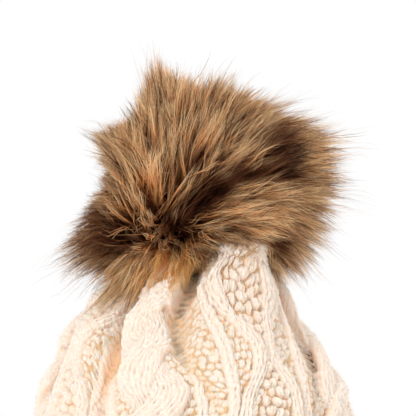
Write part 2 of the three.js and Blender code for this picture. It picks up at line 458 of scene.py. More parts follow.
def cable_panel(across, s):
    """Two fat strands that cross over and under each other; heights in millimetres."""
    phase = math.pi * s / CABLE_PITCH
    worked = edge_chains(purl_ground(across, s), across, s)
    for side in (-1, 1):
        beside = across - side * CABLE_SWING * np.cos(phase)
        above = side * np.sin(phase)
        slope = side * CABLE_SWING * np.sin(phase) * math.pi / CABLE_PITCH
        legs = knit_stitch(beside / STITCH + 0.5, (s - slope * beside) / (ROW * 1.3))
        height, light = strand(beside / CABLE_STRAND, legs, stand=3.6, relief=1.9)
        worked = over(worked, (height + np.where(height > 0, CABLE_OVER * above, 0), light))
    return worked


DIAMOND_PITCH = 70.0  # from one diamond to the next
DIAMOND_HALF = 19.0  # the widest half of a diamond
DIAMOND_NECK = 4.0  # the narrowest
RIB_HALF = 5.4  # half the width of the rib round a diamond
SEED = 6.0  # width of a bump in a diamond
SEED_PROUD = 3.4  # height of the fattest of them


def diamond_panel(across, s):
    """Raised ribs that part and meet round a diamond of fat seed stitch."""
    turn = s / DIAMOND_PITCH - np.floor(s / DIAMOND_PITCH)
    spread = DIAMOND_NECK + (DIAMOND_HALF - DIAMOND_NECK) * smoothstep(1 - np.abs(2 * turn - 1), 0.0, 0.9)
    inside = np.abs(across) < spread
    seeds = bobbles(across / SEED, s / (SEED * 0.9))
    ground = edge_chains(purl_ground(across, s), across, s)
    light = np.where(inside, 0.28 + 0.85 * seeds, ground[1])
    worked = (np.where(inside, SEED_PROUD * seeds, ground[0]), light)
    for side in (-1, 1):
        offset = across - side * spread
        legs = knit_stitch(offset / STITCH, s / ROW)
        worked = over(worked, strand(offset / RIB_HALF, legs, stand=1.8, relief=2.4))
    return worked


def rib(stitches, s):
    """Two knit, two purl, with the purl drawn in between the ribs: (height, how open to light)."""
    cell = stitches / 4 - np.floor(stitches / 4)
    across = (cell - 0.5) / 0.34
    legs = knit_stitch(np.clip(across, -1, 1), s / ROW)
    bumps = bobbles(stitches, s / ROW * 1.3)
    ground = (0.8 * bumps, 0.5 + 0.4 * bumps)
    return over(ground, strand(across, legs, stand=3.0, relief=1.4))


def oval(angle, radius, height):
    """Points round the head's oval; the angle is 0 at the front and grows towards the wearer's left."""
    return stacked(radius * np.sin(angle), -HEAD_OVAL * radius * np.cos(angle), height)


def surface_normals(points):
    """Normals of a grid that wraps round in its second index."""
    around = np.roll(points, -1, axis=1) - np.roll(points, 1, axis=1)
    up = np.gradient(points, axis=0)
    return normalised(np.cross(around, up))


SWELL_SIDE = math.radians(52)  # where the pleats rise most, round from the front
SWELL_WIDTH = math.radians(50)
SWELL_RISE = 18.5
SWELL_SINK = 9.0


def crown_swell(angle, height):
    """How much the pleats rise beside the pom pom: up at the front right and down everywhere else."""
    away = np.abs(np.mod(angle - SWELL_SIDE + math.pi, 2 * math.pi) - math.pi)
    lift = SWELL_RISE * np.exp(-(away / SWELL_WIDTH) ** 2) - SWELL_SINK
    return lift * smoothstep(height, 170, 206)


def knit_cloth(angle, rows):
    """The bare pleated cloth: its points, each point's place across its pleat, 0 to 1 and in
    millimetres from the middle, and the pleat's number."""
    ridge = smooth_line(RIDGE, rows)
    valley = smooth_line(VALLEY, rows)
    tall = ridge[:, 1:]
    shoulder, crown, *rest = FOLDS[0]
    once_round = (shoulder + 360, crown + 360, *rest)
    low, high, depth, foot = np.array([*FOLDS, once_round], float).T
    at = low + (high - low) * smoothstep(tall, *TWIST)
    wander = 2.5 * np.sin(tall / 31 + 2 * angle)
    degrees = np.mod(np.degrees(angle) + wander - low[0], 360) + low[0]
    turn = np.array([np.interp(row, folds, np.arange(len(low))) for row, folds in zip(degrees, at)])
    pleat = np.floor(turn).astype(int) % len(FOLDS)
    p = turn - np.floor(turn)
    nearest = np.round(turn).astype(int)
    fold = np.abs(np.sin(math.pi * p))
    into = (1 - fold) ** 2.3 * depth[nearest] * smoothstep(tall, foot[nearest], foot[nearest] + 45)
    width = np.radians(np.take_along_axis(np.diff(at), pleat, axis=1)) * ridge[:, :1] * (1 + HEAD_OVAL) / 2
    bulge = 0.06 * (width - 40) * fold * smoothstep(tall, 120, 165)
    radius = ridge[:, :1] + (valley[:, :1] - ridge[:, :1]) * into + bulge
    height = tall + (valley[:, 1:] - tall) * into
    swell = crown_swell(angle, tall) * (1 - 0.8 * into)
    cloth = oval(angle, radius + 0.3 * swell, height + swell)
    lean = smoothstep(tall, 130, 176) * (1 - smoothstep(tall, 196, 208))
    cloth[..., 0] += CROWN_LEAN * lean + 1.2 * ripple(angle, tall, 70, 3) * smoothstep(tall, 80, 110)
    return cloth, p, (p - 0.5) * width, pleat


DIAMOND_START = 48  # how far along a repeat each pattern is at the crown
CABLE_START = 20


def knit_pattern(angle, across, pleat, s, height):
    """How far the stitches stand out, in millimetres, and how open they are to light. s runs down the hat."""
    s = s + 1.6 * ripple(angle, s, 38, 1) + 0.7 * ripple(angle, s, 13, 5)
    across = across + 1.3 * ripple(angle, s, 30, 2) + 0.7 * ripple(angle, s, 11, 4)
    diamond, cable = diamond_panel(across, s + DIAMOND_START), cable_panel(across, s + CABLE_START)
    stitches = np.broadcast_to(angle / (2 * math.pi) * CUFF_STITCHES, s.shape)
    ribbed = rib(stitches, s)
    into_rib = 1 - smoothstep(height, CUFF_TOP - 10, CUFF_TOP + 2)
    uneven = 0.3 * ripple(angle, s, 2.3, 8) + 0.35 * ripple(angle, s, 4.2, 6) + 0.3 * ripple(angle, s, 7.5, 7)
    raised, light = (
        np.where(pleat % 2 == 1, diamond[k], cable[k]) * (1 - into_rib) + (0.7, 1.0)[k] * ribbed[k] * into_rib
        for k in (0, 1)
    )
    return raised + uneven, light


FOLD_SHADE = 0.7  # how much of the light is lost at the bottom of a fold


def fold_light(p, pleat, height):
    """Less light reaches the bottom of a fold, and the folds are deeper towards the crown."""
    depth = np.array([row[2] for row in FOLDS])[(pleat + np.round(p).astype(int)) % len(FOLDS)]
    dark = FOLD_SHADE * depth * smoothstep(height, 100, 160)
    return 1 - dark * (1 - smoothstep(np.abs(np.sin(math.pi * p)), 0.0, 0.3))


INSIDE_ROWS = 6  # the plain inside needs one row for so many of the outside's


def knit_body(columns=1200, rows=440):
    """The knit's pleated outside with its stitches, and a plain inside, joined into one closed sheet."""
    angle = full_turn(columns)
    cloth, p, across, pleat = knit_cloth(angle, rows)
    normals = surface_normals(cloth)
    middle = smooth_line(RIDGE, rows)
    length = np.concatenate([[0], np.cumsum(np.linalg.norm(np.diff(middle, axis=0), axis=1))])
    s = np.broadcast_to((length[-1] - length)[:, None], cloth.shape[:2])
    raised, light = knit_pattern(angle, across, pleat, s, cloth[..., 2])
    tucked = (1 - smoothstep(np.abs(np.sin(math.pi * p)), 0.1, 0.5)) * smoothstep(cloth[..., 2], 130, 170)
    raised = raised * smoothstep(s, 4, 20) * (1 - 0.7 * tucked)
    shown = smoothstep(cloth[..., 2], CUFF_TOP + 1, CUFF_TOP + 9)
    stand = STITCH_PROUD * shown + 3.2 * (1 - shown)
    outside = cloth + normals * (raised - stand)[..., None]
    inside = (cloth - normals * (stand + 0.4)[..., None])[::INSIDE_ROWS][::-1]
    points = np.concatenate([outside.reshape(-1, 3), inside.reshape(-1, 3)])
    # Painted shade: how open each point is to light, darkened further at the bottom of the folds, is stored
    # as shade for the yarn's colour; the plain inside gets a fixed mid shade.
    light = light * fold_light(p, pleat, cloth[..., 2])
    shade = np.concatenate([light.ravel(), np.full(inside.size // 3, 0.4)])
    v_out = np.linspace(0, 0.9, rows)[:, None]
    v_in = np.linspace(0.92, 1.0, len(inside))[:, None]
    uv = np.concatenate([stacked(np.arange(columns) / columns, v).reshape(-1, 2) for v in (v_out, v_in)])
    total = rows + len(inside)
    quads = grid_quads(total + 1, columns) % (total * columns)
    shown_part = slice(rows // 5, rows - 8)  # from behind the cuff to the gathered hole
    fuzz = yarn_fuzz("knit_fuzz", outside[shown_part], normals[shown_part], 26000)
    return make_piece("knit_fabric", points, quads, uv=uv, shade=shade), fuzz


CUFF_INSIDE = 93.4
CUFF_ROWS = 84  # of points up its outside
RIB_PROUD = 3.4  # how far the ribs stand out from the cuff's own cloth
HEM_FLAT = 1.5  # how far out from the inside an edge is at its highest or lowest


def cuff_fabric(columns=936):
    """The turned cuff, ribbed outside and plain inside, closed over both edges."""
    edge = CUFF_INSIDE + HEM_FLAT
    outline = np.array(
        [(CUFF_INSIDE, 0.6), (edge, 0)]
        + [(CUFF_RADIUS - RIB_PROUD, z) for z in np.linspace(0.2, CUFF_TOP - 0.2, CUFF_ROWS)]
        + [(edge, CUFF_TOP), (CUFF_INSIDE, CUFF_TOP - 0.6)]
        + [(CUFF_INSIDE, z) for z in np.linspace(CUFF_TOP - 6, 6, 6)]
    )
    rows = len(outline)
    angle = full_turn(columns)
    down = np.broadcast_to((CUFF_TOP - outline[:, 1])[:, None], (rows, columns))
    stitches = np.broadcast_to(angle / (2 * math.pi) * CUFF_STITCHES, (rows, columns))
    stitches = stitches + 0.25 * ripple(angle, down, 30, 9) + 0.12 * ripple(angle, down, 9, 10)
    outer = (outline[:, 0] > edge + 0.1).astype(float)[:, None]
    ease = smoothstep(outline[:, 1], -1, 4)[:, None] * smoothstep(CUFF_TOP - outline[:, 1], -1, 4)[:, None]
    raised, light = rib(stitches, down + 1.2 * ripple(angle, down, 25, 11))
    raised = (raised + 0.3 * ripple(angle, down, 5, 12)) * outer * (0.3 + 0.7 * ease)
    points = oval(angle, outline[:, :1] + raised, outline[:, 1:])
    # Painted shade: the ribs' openness to light is stored as shade for the yarn's colour; the hems and the
    # inside get a fixed mid shade.
    shade = np.where(outer > 0, light, 0.5)
    uv = stacked(np.arange(columns) / columns, np.linspace(0, 1, rows)[:, None]).reshape(-1, 2)
    quads = grid_quads(rows + 1, columns) % (rows * columns)
    above_hem = slice(10, CUFF_ROWS + 2)
    fuzz = yarn_fuzz("cuff_fuzz", points[above_hem], level(points)[above_hem], 12000)
    return make_piece("cuff_fabric", points.reshape(-1, 3), quads, uv=uv, shade=shade.ravel()), fuzz


def yarn_fuzz(name, points, normals, count):
    """Loose fibre ends that stand a little off the yarn, at points picked from a grid."""
    points = points.reshape(-1, 3)
    chosen = rng.integers(0, len(points), count)
    out = normals.reshape(-1, 3)[chosen]
    first = normalised(out + rng.normal(0, 0.5, (count, 3)))
    last = normalised(0.3 * out + rng.normal(0, 0.7, (count, 3)))
    curves = grow(points[chosen] - 0.3 * out, first, last, rng.uniform(1.5, 4.0, count), 4)
    return tubes(name, curves, np.full(count, 0.045), np.full((count, 4), 0.5))


# ---- fur ----

# How the fur lies: a place on the ball, the way the hair runs there (x to the wearer's left, y to the
# back, z up), how upright it stands (0 to 1), its length and how far its roots swell out or sink in, in
# millimetres, and its tone (0 dark, 1 light).
FUR_LIES = [
    ((-0.46, -0.42, -0.86), (-0.1, -0.95, 0), 0.8, 15, 19, 0.55),
    ((-0.28, -0.4, -0.92), (0.5, -0.8, -0.1), 0.6, 16, 17, 0.5),
    ((-0.5, -0.58, -0.71), (-0.1, -0.4, 1), 0.3, 32, 16, 0.5),
    ((-0.45, -0.77, -0.5), (0.02, -0.1, 1), 0.2, 44, 11, 0.85),
    ((-0.18, -0.66, -0.76), (0.95, -0.2, 0.15), 0.25, 30, 14, 0.15),
    ((-0.67, -0.48, -0.62), (-0.85, -0.1, 0.1), 0.45, 30, 11, 0.02),
    ((-0.85, -0.3, -0.4), (-0.85, 0, 0.2), 0.5, 32, 6, 0.05),
    ((-0.8, -0.2, -0.62), (-0.95, -0.1, -0.2), 0.5, 38, 4, 0.15),
    ((-0.95, 0, -0.45), (-0.8, 0, -0.5), 0.5, 44, 2, 0.35),
    ((-0.75, -0.6, 0.05), (-0.15, 0, 1), 0.2, 34, -2, 0.3),
    ((-0.97, -0.2, 0.1), (-0.2, 0, 0.98), 0.25, 30, -4, 0.4),
    ((-0.85, -0.2, 0.45), (-0.3, 0, 0.95), 0.35, 32, -2, 0.45),
    ((-0.62, -0.2, 0.76), (0.05, 0, 1), 0.55, 30, -3, 0.45),
    ((-0.42, -0.9, -0.1), (0, 0, 1), 0.16, 50, 0, 0.95),
    ((-0.45, -0.75, 0.45), (-0.02, 0.05, 1), 0.3, 48, 1, 0.75),
    ((-0.42, -0.2, 0.88), (-0.08, -0.05, 1), 0.9, 52, 3, 0.65),
    ((-0.05, -0.2, 0.98), (0.25, 0.1, 0.9), 0.55, 34, -3, 0.6),
    ((-0.1, -0.98, 0.1), (0.35, 0, 0.92), 0.16, 50, 0, 0.6),
    ((-0.12, -0.96, -0.2), (0.45, 0, 0.9), 0.15, 48, -2, 0.12),
    ((0.15, -0.7, 0.68), (0.6, 0.1, 0.78), 0.2, 48, 1, 0.65),
    ((0.45, -0.55, 0.7), (0.9, 0.05, 0.25), 0.12, 48, 1, 0.6),
    ((0.32, -0.15, 0.92), (0.95, 0.1, -0.1), 0.25, 42, 1, 0.55),
    ((0.62, -0.15, 0.75), (0.85, 0.1, -0.45), 0.15, 42, 0, 0.5),
    ((0.16, -0.96, -0.1), (0.68, 0, 0.72), 0.14, 50, -3, 0.1),
    ((0.35, -0.9, 0.25), (0.72, 0.05, 0.66), 0.2, 50, 0, 0.65),
    ((0.74, -0.6, 0.26), (0.85, 0.2, 0.2), 0.4, 20, -6, 0.02),
    ((0.85, -0.3, 0.45), (0.95, 0.1, -0.2), 0.3, 44, 2, 0.55),
    ((0.1, -0.86, -0.5), (0.9, -0.1, 0.42), 0.24, 48, 2, 0.6),
    ((0.45, -0.84, -0.25), (0.85, 0, 0.48), 0.2, 48, 2, 0.72),
    ((0.92, -0.35, 0), (0.95, 0.1, 0), 0.5, 46, 2, 0.6),
    ((0.66, -0.66, -0.36), (0.6, -0.3, -0.1), 0.55, 30, 3, 0.8),
    ((0.84, -0.35, -0.42), (0.85, -0.05, -0.5), 0.5, 42, 0, 0.55),
    ((0.66, -0.25, -0.72), (0.45, -0.05, -0.9), 0.45, 44, 1, 0.55),
    ((0.3, -0.6, -0.74), (0.8, -0.2, 0.1), 0.3, 26, 0, 0.45),
    ((0, -0.6, -0.8), (0.4, -0.5, -0.1), 0.3, 24, 0, 0.5),
    ((-0.62, -0.32, -0.74), (-0.85, -0.3, -0.35), 0.45, 28, 4, 0.4),
    ((-0.3, -0.5, -0.82), (-0.05, -0.7, -0.75), 0.45, 34, 2, 0.8),
    ((-1, 0.2, -0.1), (-0.7, 0.2, -0.2), 0.45, 34, -2, 0.3),
    ((-0.6, 0.7, 0.35), (-0.4, 0.6, 0.3), 0.5, 42, 0, 0.55),
    ((0, 0.6, 0.8), (0.15, 0.85, 0.3), 0.45, 44, 0, 0.65),
    ((0.6, 0.7, 0.35), (0.6, 0.6, 0.1), 0.5, 42, 0, 0.55),
    ((1, 0.2, -0.1), (0.85, 0.3, -0.2), 0.5, 44, 1, 0.5),
    ((0, 1, -0.1), (0.1, 0.4, -0.9), 0.4, 46, 0, 0.5),
    ((-0.6, 0.6, -0.55), (-0.5, 0.5, -0.8), 0.5, 44, 1, 0.6),
    ((0.6, 0.6, -0.55), (0.5, 0.5, -0.8), 0.5, 44, 1, 0.6),
    ((0, 0.6, -0.8), (0, 0.65, -0.8), 0.45, 42, 1, 0.85),
]
# How far the fur reaches from the middle of the ball, seen from the front: degrees round from the wearer's
# left, over the top, and millimetres.
FUR_OUTLINE = [
    (0, 81), (18, 81), (33, 70), (47, 61), (62, 58), (73, 60), (87, 55), (99, 61), (108, 70), (116, 64),
    (126, 53), (138, 50), (147, 58), (155, 66), (164, 60), (173, 53), (184, 53), (196, 66), (207, 82),
    (215, 90), (224, 84), (238, 80), (252, 70), (268, 60), (290, 56), (306, 70), (320, 83), (340, 82),
]
# Darker partings, whose darkening is painted shade, darker patches and lighter streaks of hair: a place on
# the outside of the fur, how far it spreads (as a share of the ball's radius), and how much lighter.
FUR_PARTING_SHADE_AND_STREAKS = [
    ((0.78, -0.58, 0.2), 0.18, -1.35), ((-0.17, -0.89, -0.43), 0.12, -1.2),
    ((0.06, -0.97, -0.24), 0.11, -1.2), ((0.24, -0.96, -0.1), 0.1, -1.2), ((0.4, -0.9, 0.06), 0.1, -0.9),
    ((-0.36, -0.92, -0.14), 0.13, 0.35), ((-0.4, -0.88, 0.2), 0.13, 0.35),
    ((-0.4, -0.75, 0.55), 0.14, 0.15), ((-0.12, -0.9, 0.45), 0.1, 0.3), ((0.2, -0.88, 0.35), 0.09, 0.3),
    ((0.02, -0.97, 0.1), 0.08, -0.3), ((0.36, -0.8, 0.5), 0.09, -0.3), ((-0.22, -0.85, 0.5), 0.07, -0.35),
    ((-0.74, -0.45, -0.55), 0.28, -0.26), ((-0.56, -0.8, -0.1), 0.1, -0.3),
    ((-0.62, -0.76, 0.15), 0.08, -0.25), ((0.66, -0.66, -0.36), 0.12, 0.4),
    ((0.45, -0.86, -0.22), 0.12, 0.25), ((0.65, -0.73, -0.2), 0.07, -0.7),
    ((0.4, -0.82, -0.41), 0.07, -0.6), ((0.7, -0.48, -0.53), 0.11, -1.2),
    ((0.74, -0.67, 0.06), 0.09, -0.9), ((0.69, -0.72, -0.07), 0.06, 0.6),
    ((0.56, -0.8, -0.32), 0.07, 0.5), ((0.78, -0.5, -0.55), 0.14, -0.35), ((0.9, -0.4, -0.1), 0.12, 0.25),
    ((0.55, -0.82, 0.05), 0.09, -0.7), ((-0.6, -0.64, -0.5), 0.14, -0.7),
    ((0.94, -0.24, 0.23), 0.12, 0.5), ((0.33, -0.9, -0.27), 0.08, 0.5), ((0.12, -0.9, -0.42), 0.08, 0.4),
    ((0.56, -0.82, -0.12), 0.07, 0.4),
]
FUR_FOCUS = 40.0  # how sharply one lie gives way to the next
PELT_SWELL = 2.0  # the most that the skin under the hair stands out
BALL = np.array([POM_HALF_WIDTH / POM_HALF_HEIGHT, POM_HALF_WIDTH / POM_HALF_HEIGHT, 1.0])


def fur_lie(places):
    """The hair's direction, uprightness, length, swell and tone at places on the ball."""
    known = normalised(np.array([row[0] for row in FUR_LIES]))
    facts = np.array([[*row[1], *row[2:]] for row in FUR_LIES])
    facts[:, :3] = normalised(facts[:, :3])
    weight = np.exp(FUR_FOCUS * (places @ known.T - 1))
    weight /= weight.sum(axis=-1, keepdims=True)
    found = weight @ facts
    return found[..., :3], *np.moveaxis(found[..., 3:], -1, 0)


def fur_tone(places):
    """How light the fur is at places on its outside, 0 to 1, with painted shade in its partings."""
    tone = fur_lie(places)[-1]
    for place, spread, lighter in FUR_PARTING_SHADE_AND_STREAKS:
        apart = 2 - 2 * places @ normalised(np.array(place))
        tone = tone + lighter * np.exp(-apart / spread ** 2)
    return tone


def ball_places(count):
    """Points spread evenly but loosely over a unit ball."""
    i = np.arange(count) + 0.5
    z = 1 - 2 * i / count
    turn = math.pi * (1 + 5 ** 0.5) * i
    flat = np.sqrt(1 - z * z)
    even = np.stack([flat * np.cos(turn), flat * np.sin(turn), z], axis=-1)
    return normalised(even + rng.normal(0, 0.5 / math.sqrt(count) * 2, even.shape))


def grow(roots, first, last, length, steps):
    """Curves that leave roots along first and bend towards last."""
    t = np.linspace(0, 1, steps)
    curve = np.empty((len(roots), steps, 3))
    curve[:, 0] = roots
    for i in range(1, steps):
        way = normalised(first + (last - first) * (t[i] ** 0.8))
        curve[:, i] = curve[:, i - 1] + way * (length / (steps - 1))[:, None]
    return curve


def tubes(name, curves, thickness, tone):
    """Tapered three-sided hairs along curves of shape (hairs, steps, 3); tone is of shape (hairs, steps)."""
    hairs, steps, _ = curves.shape
    along = normalised(np.gradient(curves, axis=1))
    helper = normalised(rng.normal(size=(hairs, 1, 3)))
    side = normalised(np.cross(along, helper))
    other = np.cross(along, side)
    t = np.linspace(0, 1, steps)
    taper = (0.75 + 0.5 * np.sin(math.pi * np.clip(t, 0, 0.6) / 0.9)) * (1 - t ** 3.0) + 0.04
    radius = thickness[:, None] * taper[None, :]
    rings = []
    for k in range(3):
        a = 2 * math.pi * k / 3
        rings.append(curves + radius[..., None] * (side * math.cos(a) + other * math.sin(a)))
    points = np.stack(rings, axis=2).reshape(hairs, -1, 3)
    count = steps * 3
    quads = []
    for j in range(steps - 1):
        for k in range(3):
            after = (k + 1) % 3
            quads.append((j * 3 + k, j * 3 + after, (j + 1) * 3 + after, (j + 1) * 3 + k))
    ends = [(2, 1, 0), (count - 3, count - 2, count - 1)]
    base = (np.arange(hairs) * count)[:, None, None]
    quads = (np.array(quads)[None] + base).reshape(-1, 4)
    tris = (np.array(ends)[None] + base).reshape(-1, 3)
    u = np.clip(tone, 0.01, 0.99)[..., None] + 0.002 * (np.arange(3) - 1)
    # A hair whose tone is below zero keeps more of its root colours along its length: darker hair, and in the
    # partings painted shade.
    ramp_reach = 1 - 0.75 * np.clip(-tone - 0.1, 0, 1)
    v = np.broadcast_to((0.01 + 0.98 * t * ramp_reach)[..., None], (hairs, steps, 3))
    uv = np.stack([np.broadcast_to(u, v.shape), v], axis=-1).reshape(-1, 2)
    return make_piece(name, points.reshape(-1, 3), quads, tris, uv=uv)


CROWN_HEIGHTS = (120, 240)  # where hair may meet the knit
GATHER_RADIUS = 30  # the crown dips inside this, and the fur fills the dip


def crown_wall():
    """The outside of the knitted crown, for each degree and millimetre: its radius, and its top."""
    cloth = knit_cloth(np.radians(np.arange(360))[None, :], 200)[0]
    across = np.hypot(cloth[..., 0], cloth[..., 1] / HEAD_OVAL)
    tall = cloth[..., 2]
    wall = np.array([np.where(tall >= z, across, 0).max(axis=0) for z in range(*CROWN_HEIGHTS)])
    return wall, np.where(across > GATHER_RADIUS, tall, 0).max(axis=0)


def clear_of_crown(curves, crown):
    """Hair that hangs over the crown lies on the knit, not in it."""
    wall, top = crown
    across = np.hypot(curves[..., 0], curves[..., 1] / HEAD_OVAL)
    degree = np.degrees(np.arctan2(curves[..., 0], -curves[..., 1] / HEAD_OVAL)).astype(int) % 360
    height = np.clip(np.round(curves[..., 2]).astype(int) - CROWN_HEIGHTS[0], 0, len(wall) - 1)
    outside = wall[height, degree] + 1.2
    over_top = top[degree] + 1.0
    inside = (across < outside) & (curves[..., 2] < over_top)
    up = inside & (over_top - curves[..., 2] < outside - across)
    out = np.where(inside & ~up, outside / np.maximum(across, 1.0), 1.0)
    moved = curves * np.stack([out, out, np.ones_like(out)], axis=-1)
    moved[..., 2] = np.where(up, over_top, moved[..., 2])
    return moved


def from_front(curves):
    """Points as seen from the front: each one's way out from the middle of the ball, its distance, its
    degrees round, and how near the outline it is."""
    out = curves - POM_CENTRE
    distance = np.linalg.norm(out, axis=-1)
    degrees = np.degrees(np.arctan2(out[..., 2], out[..., 0])) % 360
    return out, distance, degrees, np.hypot(out[..., 0], out[..., 2]) / np.maximum(distance, 1.0)


def usual_reach(curves):
    """How far the fur reaches in each 10 degrees of the outline before it is shaped."""
    _, distance, degrees, side_on = from_front(curves[:, -1])
    near = side_on > 0.85
    return [np.percentile(distance[near & (degrees // 10 == k)], 80) for k in range(36)]


def shaped(curves, usual):
    """The fur pulled out or in, to the outline."""
    out, distance, degrees, side_on = from_front(curves)
    wanted = np.interp(degrees, *np.array(FUR_OUTLINE, float).T, period=360)
    before = np.interp(degrees, np.arange(5, 360, 10), usual, period=360)
    share = (wanted - PELT_RADIUS) / (before - PELT_RADIUS)
    beyond = np.maximum(distance - PELT_RADIUS, 0) * side_on ** 3 * (share - 1)
    return POM_CENTRE + out * (1 + beyond / np.maximum(distance, 1.0))[..., None]


def tufted(spine, places, tufts, hairs, spread, frizz):
    """Each curve of a set made into a lock: a few tufts of hairs that close towards the tip."""
    count, steps, _ = spine.shape
    t = np.linspace(0, 1, steps)[:, None]

    def varied(of_tuft, of_hair, *rest):
        by_tuft = rng.normal(0, of_tuft, (count, tufts, 1, *rest))
        return by_tuft + rng.normal(0, of_hair, (count, tufts, hairs, *rest))

    sideways = varied(spread, 0.36, 3)
    sideways -= (sideways * places[:, None, None]).sum(-1, keepdims=True) * places[:, None, None]
    wave = varied(frizz, 0.4 * frizz, 1, 3)
    curl = varied(0.4 * frizz, 0.12 * frizz, 1, 3) * np.sin(3.0 * math.pi * t)
    by_tuft = rng.uniform(0.8, 1.06, (count, tufts, 1, 1, 1))
    stretch = by_tuft * rng.uniform(0.88, 1.04, (count, tufts, hairs, 1, 1))
    start = spine[:, None, None, :1]
    path = (spine[:, None, None] - start) * stretch
    close = 1 - 0.4 * t
    curves = start + path + sideways[..., None, :] * close + wave * t ** 2 + curl
    return curves.reshape(-1, steps, 3)


def tones(count, tufts, hairs):
    """How much lighter each hair is than its place: each lock differs, then each tuft, then each hair."""
    lock = rng.normal(0, 0.26, (count, 1, 1))
    tuft = rng.normal(0, 0.45, (count, tufts, 1))
    return (lock + tuft + rng.normal(0, 0.3, (count, tufts, hairs))).ravel()


def locks(places, tufts, hairs, spread, length_share, lift_more, frizz, tone_shift, steps=8, straying=0.15):
    """Locks of fur that lie as FUR_LIES says: their curves, and how much lighter each hair is. spread and
    frizz are in millimetres, and length_share and lift_more change what FUR_LIES says."""
    flow, lift, length, swell, _ = fur_lie(places)
    count = len(places)
    turn = rng.normal(0, straying, (count, 3))
    lift = np.clip(lift + lift_more + rng.normal(0, 0.07, count), 0, 1)[:, None]
    first = normalised(places * (0.45 + lift) + flow * (1.1 - lift) + turn)
    last = normalised(flow * 1.1 + places * (0.15 + 0.55 * lift) + turn * 1.4 + np.array([0, 0, -0.10]))
    skin, roots = (
        POM_CENTRE + places * BALL * (PELT_RADIUS - 1 + out)[:, None]
        for out in (np.minimum(swell, PELT_SWELL), swell)
    )
    spine = grow(roots, first, last, length * length_share * rng.uniform(0.82, 1.12, count), steps - 1)
    spine = np.concatenate([skin[:, None], spine], axis=1)
    return tufted(spine, places, tufts, hairs, spread, frizz), tones(count, tufts, hairs) + tone_shift


def fringe(sides, length, count, tufts=4, hairs=5, steps=8):
    """Longer fur under the front of the ball, between two sides in degrees, that hangs over the crown."""
    azimuth = np.radians(rng.uniform(*sides, count))
    low = rng.uniform(0.82, 0.95, count)
    flat = np.sqrt(1 - low * low)
    places = np.stack([flat * np.sin(azimuth), -flat * np.cos(azimuth), -low], axis=-1)
    outward = normalised(places * np.array([1.0, 1.0, 0.0]))
    turn = rng.normal(0, 0.16, (count, 3))
    first = normalised(outward + np.array([0, 0, -0.15]) + turn)
    last = normalised(0.45 * outward + np.array([0, 0, -1.0]) + turn)
    roots = POM_CENTRE + places * BALL * (PELT_RADIUS - 1)
    spine = grow(roots, first, last, length * rng.uniform(0.75, 1.15, count), steps)
    return tufted(spine, places, tufts, hairs, 2.6, 3.6), tones(count, tufts, hairs)


# The colours of hair from root to tip, each pair a dark hair's and a light one's.
DARK_HAIR = [
    (0.0, (12, 5, 2)), (0.35, (36, 15, 6)), (0.65, (72, 33, 14)), (0.9, (98, 49, 24)), (1.0, (56, 27, 13)),
]
LIGHT_HAIR = [
    (0.0, (42, 18, 7)), (0.3, (140, 82, 44)), (0.6, (248, 178, 114)), (0.88, (255, 224, 174)),
    (1.0, (248, 184, 128)),
]
TIPPED_DARK = [
    (0.0, (26, 14, 8)), (0.4, (70, 38, 20)), (0.7, (100, 60, 36)), (1.0, (40, 24, 18)),
]
TIPPED_LIGHT = [
    (0.0, (60, 36, 18)), (0.4, (176, 112, 66)), (0.75, (250, 190, 136)), (1.0, (150, 98, 66)),
]
# The fringe's gold hair: golden, and made lighter still to stand in for the light from below that it lacks
# under the ball, which is painted light.
GOLD_DARK = [(0.0, (110, 56, 24)), (0.4, (218, 130, 64)), (1.0, (190, 112, 60))]
GOLD_LIGHT = [(0.0, (216, 130, 60)), (0.35, (255, 194, 108)), (1.0, (255, 214, 144))]


def pom_pelt():
    """The fur cover's own skin, a lumpy ball under the hair."""
    rows, columns = 60, 96
    lat = np.linspace(-math.pi / 2 + 0.24, math.pi / 2 - 0.001, rows)[:, None]
    lon = full_turn(columns)
    n = stacked(np.cos(lat) * np.cos(lon), np.cos(lat) * np.sin(lon), np.sin(lat))
    swell = np.clip(fur_lie(n)[3], -4, PELT_SWELL)
    radius = PELT_RADIUS + swell + 0.7 * np.sin(9 * lon + 4 * lat) * np.cos(7 * lat) * np.cos(lat)
    points = POM_CENTRE + n * BALL * radius[..., None]
    inner = POM_CENTRE + (n * BALL * (radius - 1.6)[..., None])[::-1]
    grid = np.concatenate([points, inner])
    quads = grid_quads(2 * rows, columns)
    closing = np.arange(columns)
    top = (2 * rows - 1) * columns
    rim = np.stack([top + closing, top + (closing + 1) % columns, (closing + 1) % columns, closing], -1)
    uv = stacked(lon / (2 * math.pi), np.linspace(0, 1, 2 * rows)[:, None])
    return make_piece("pom_pelt", grid.reshape(-1, 3), np.concatenate([quads, rim]), uv=uv.reshape(-1, 2))


LOCKS = 2200
LOCK_PIECES = 8
LOCK_HAIR = 0.12  # half the thickness of a hair
FRINGE_HAIR = 0.11
FRINGE_TONE = 0.7
# The rest of the fur: name, kind of hair, thickness, how many locks, and what locks() asks for: tufts,
# hairs, spread, share of the length, more lift, frizz, shift of tone, steps, straying.
LOOSER_FUR = [
    # The undercoat is shifted darker: partly its own colour, partly painted shade between the locks.
    ("fur_undercoat", "under", 0.2, 1500, (2, 3, 3.0, 0.55, 0.15, 2.0, -0.25, 5)),
    ("fur_wisps", "tips", 0.075, 420, (3, 3, 3.5, 1.26, 0.1, 4.0, 0.4, 9)),
    ("fur_strays", "tips", 0.09, 380, (1, 2, 2.0, 1.0, 0.1, 6.0, 0.9, 9, 0.6)),
    # Painted highlights: thin hairs in the lightest colours, even in dark places, that stand in for the
    # bright highlights along single strands.
    ("fur_highlight_hairs", "guard", 0.18, 1000, (1, 2, 2.0, 1.0, 0.03, 4.0, 1.2, 10, 0.22)),
    ("fur_dark_hairs", "guard", 0.18, 900, (1, 2, 2.0, 1.0, 0.02, 4.0, -1.3, 10, 0.22)),
]
